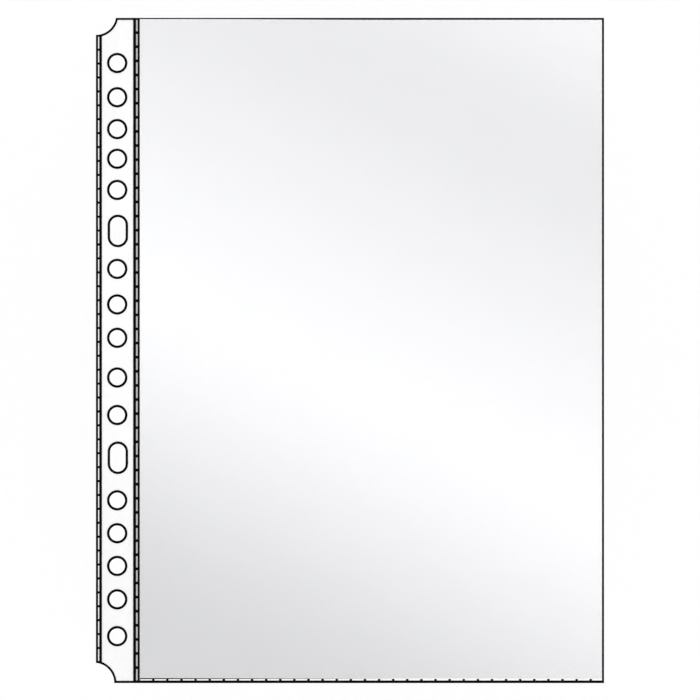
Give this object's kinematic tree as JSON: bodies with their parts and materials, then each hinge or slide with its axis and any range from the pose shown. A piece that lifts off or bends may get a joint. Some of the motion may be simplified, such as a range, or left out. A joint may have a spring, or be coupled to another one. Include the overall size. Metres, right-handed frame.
{
  "type": "sheet protector",
  "caption": "Clear top-loading film pocket for a document sheet, with a white punched binding strip and ladder welds along its edge, spine and bottom.",
  "frame": {"origin": "middle of the back face, on the surface that the pocket lies on", "axes": "+X from the binding strip to the side fold, +Y from the bottom weld to the open mouth, +Z out of the front"},
  "size_m": [0.233, 0.305, 0.0007],
  "materials": {
    "strip": "satin",
    "weld": "satin",
    "clear_film": "gloss"
  },
  "bodies": {
    "strip": {"binding_strip": "strip", "strip_cover_film": "clear_film", "edge_weld": "weld", "spine_weld": "weld"},
    "pocket": {"back_film": "clear_film", "side_fold": "clear_film", "bottom_weld": "weld"},
    "front": {"front_film": "clear_film"}
  },
  "joints": [
    {"name": "spine_bend", "type": "hinge", "parent": "strip", "child": "pocket", "pos_m": [-0.09676, 0, 0.00036], "axis": [0, -1, 0], "range_deg": [-90, 90]},
    {"name": "mouth_opening", "type": "hinge", "parent": "pocket", "child": "front", "pos_m": [0, -0.15048, 0.00049], "axis": [1, 0, 0], "range_deg": [0, 4]}
  ]
}
